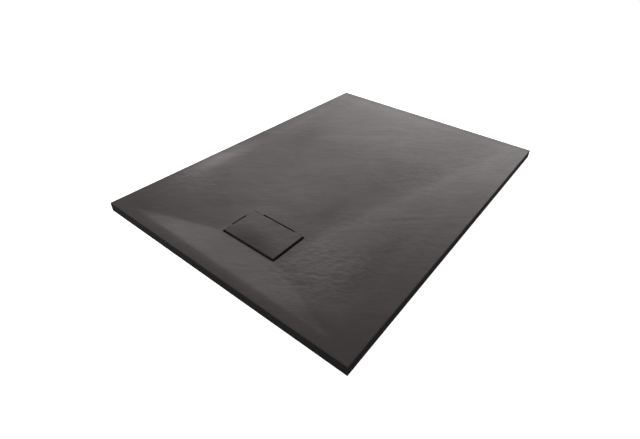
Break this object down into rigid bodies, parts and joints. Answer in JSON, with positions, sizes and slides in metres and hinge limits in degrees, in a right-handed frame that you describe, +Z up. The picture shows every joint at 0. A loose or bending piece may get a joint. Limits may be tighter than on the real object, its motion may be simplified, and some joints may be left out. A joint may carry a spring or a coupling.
{
  "type": "shower tray",
  "caption": "Low rectangular slate-textured shower tray falling to a drain near one short side, with a lift-off cover plate over a waste with a removable odour trap and a swivelling outlet.",
  "frame": {"origin": "middle of the tray's flat underside, the face that is bedded on the floor", "axes": "+Z up out of the tray, +Y along its length away from the drain, +X across its width"},
  "size_m": [0.9, 1.2, 0.098],
  "materials": {
    "slate_resin": "matte",
    "black_rubber": "matte",
    "grey_plastic": "satin",
    "white_plastic": "satin",
    "steel": "satin",
    "brass": "satin"
  },
  "bodies": {
    "tray": {"tray_slab": "slate_resin", "waste_flange": "steel", "flange_gasket": "black_rubber", "flange_screws": "steel", "screw_inserts": "brass", "trap_neck": "white_plastic", "trap_pot": "white_plastic", "body_gasket": "black_rubber", "outlet_seal": "black_rubber", "outlet_nut": "white_plastic"},
    "cover": {"drain_cover": "slate_resin", "cover_feet": "black_rubber"},
    "strainer": {"hair_strainer": "grey_plastic"},
    "trap_insert": {"dip_tube": "grey_plastic", "dip_seal": "black_rubber", "odour_cup": "grey_plastic"},
    "outlet": {"outlet_spigot": "white_plastic"}
  },
  "joints": [
    {"name": "cover_lift", "type": "slide", "parent": "tray", "child": "cover", "axis": [0, 0, 1], "range_m": [0, 0.15]},
    {"name": "strainer_lift", "type": "slide", "parent": "tray", "child": "strainer", "axis": [0, 0, 1], "range_m": [0, 0.09]},
    {"name": "insert_lift", "type": "slide", "parent": "tray", "child": "trap_insert", "axis": [0, 0, 1], "range_m": [0, 0.075]},
    {"name": "outlet_swing", "type": "hinge", "parent": "tray", "child": "outlet", "pos_m": [0, -0.472, -0.036], "axis": [0, 0, 1], "range_deg": [-10, 10]}
  ],
  "couplings": [
    {"joint": "strainer_lift", "follows": "cover_lift", "ratio": 0.6},
    {"joint": "insert_lift", "follows": "cover_lift", "ratio": 0.5}
  ]
}
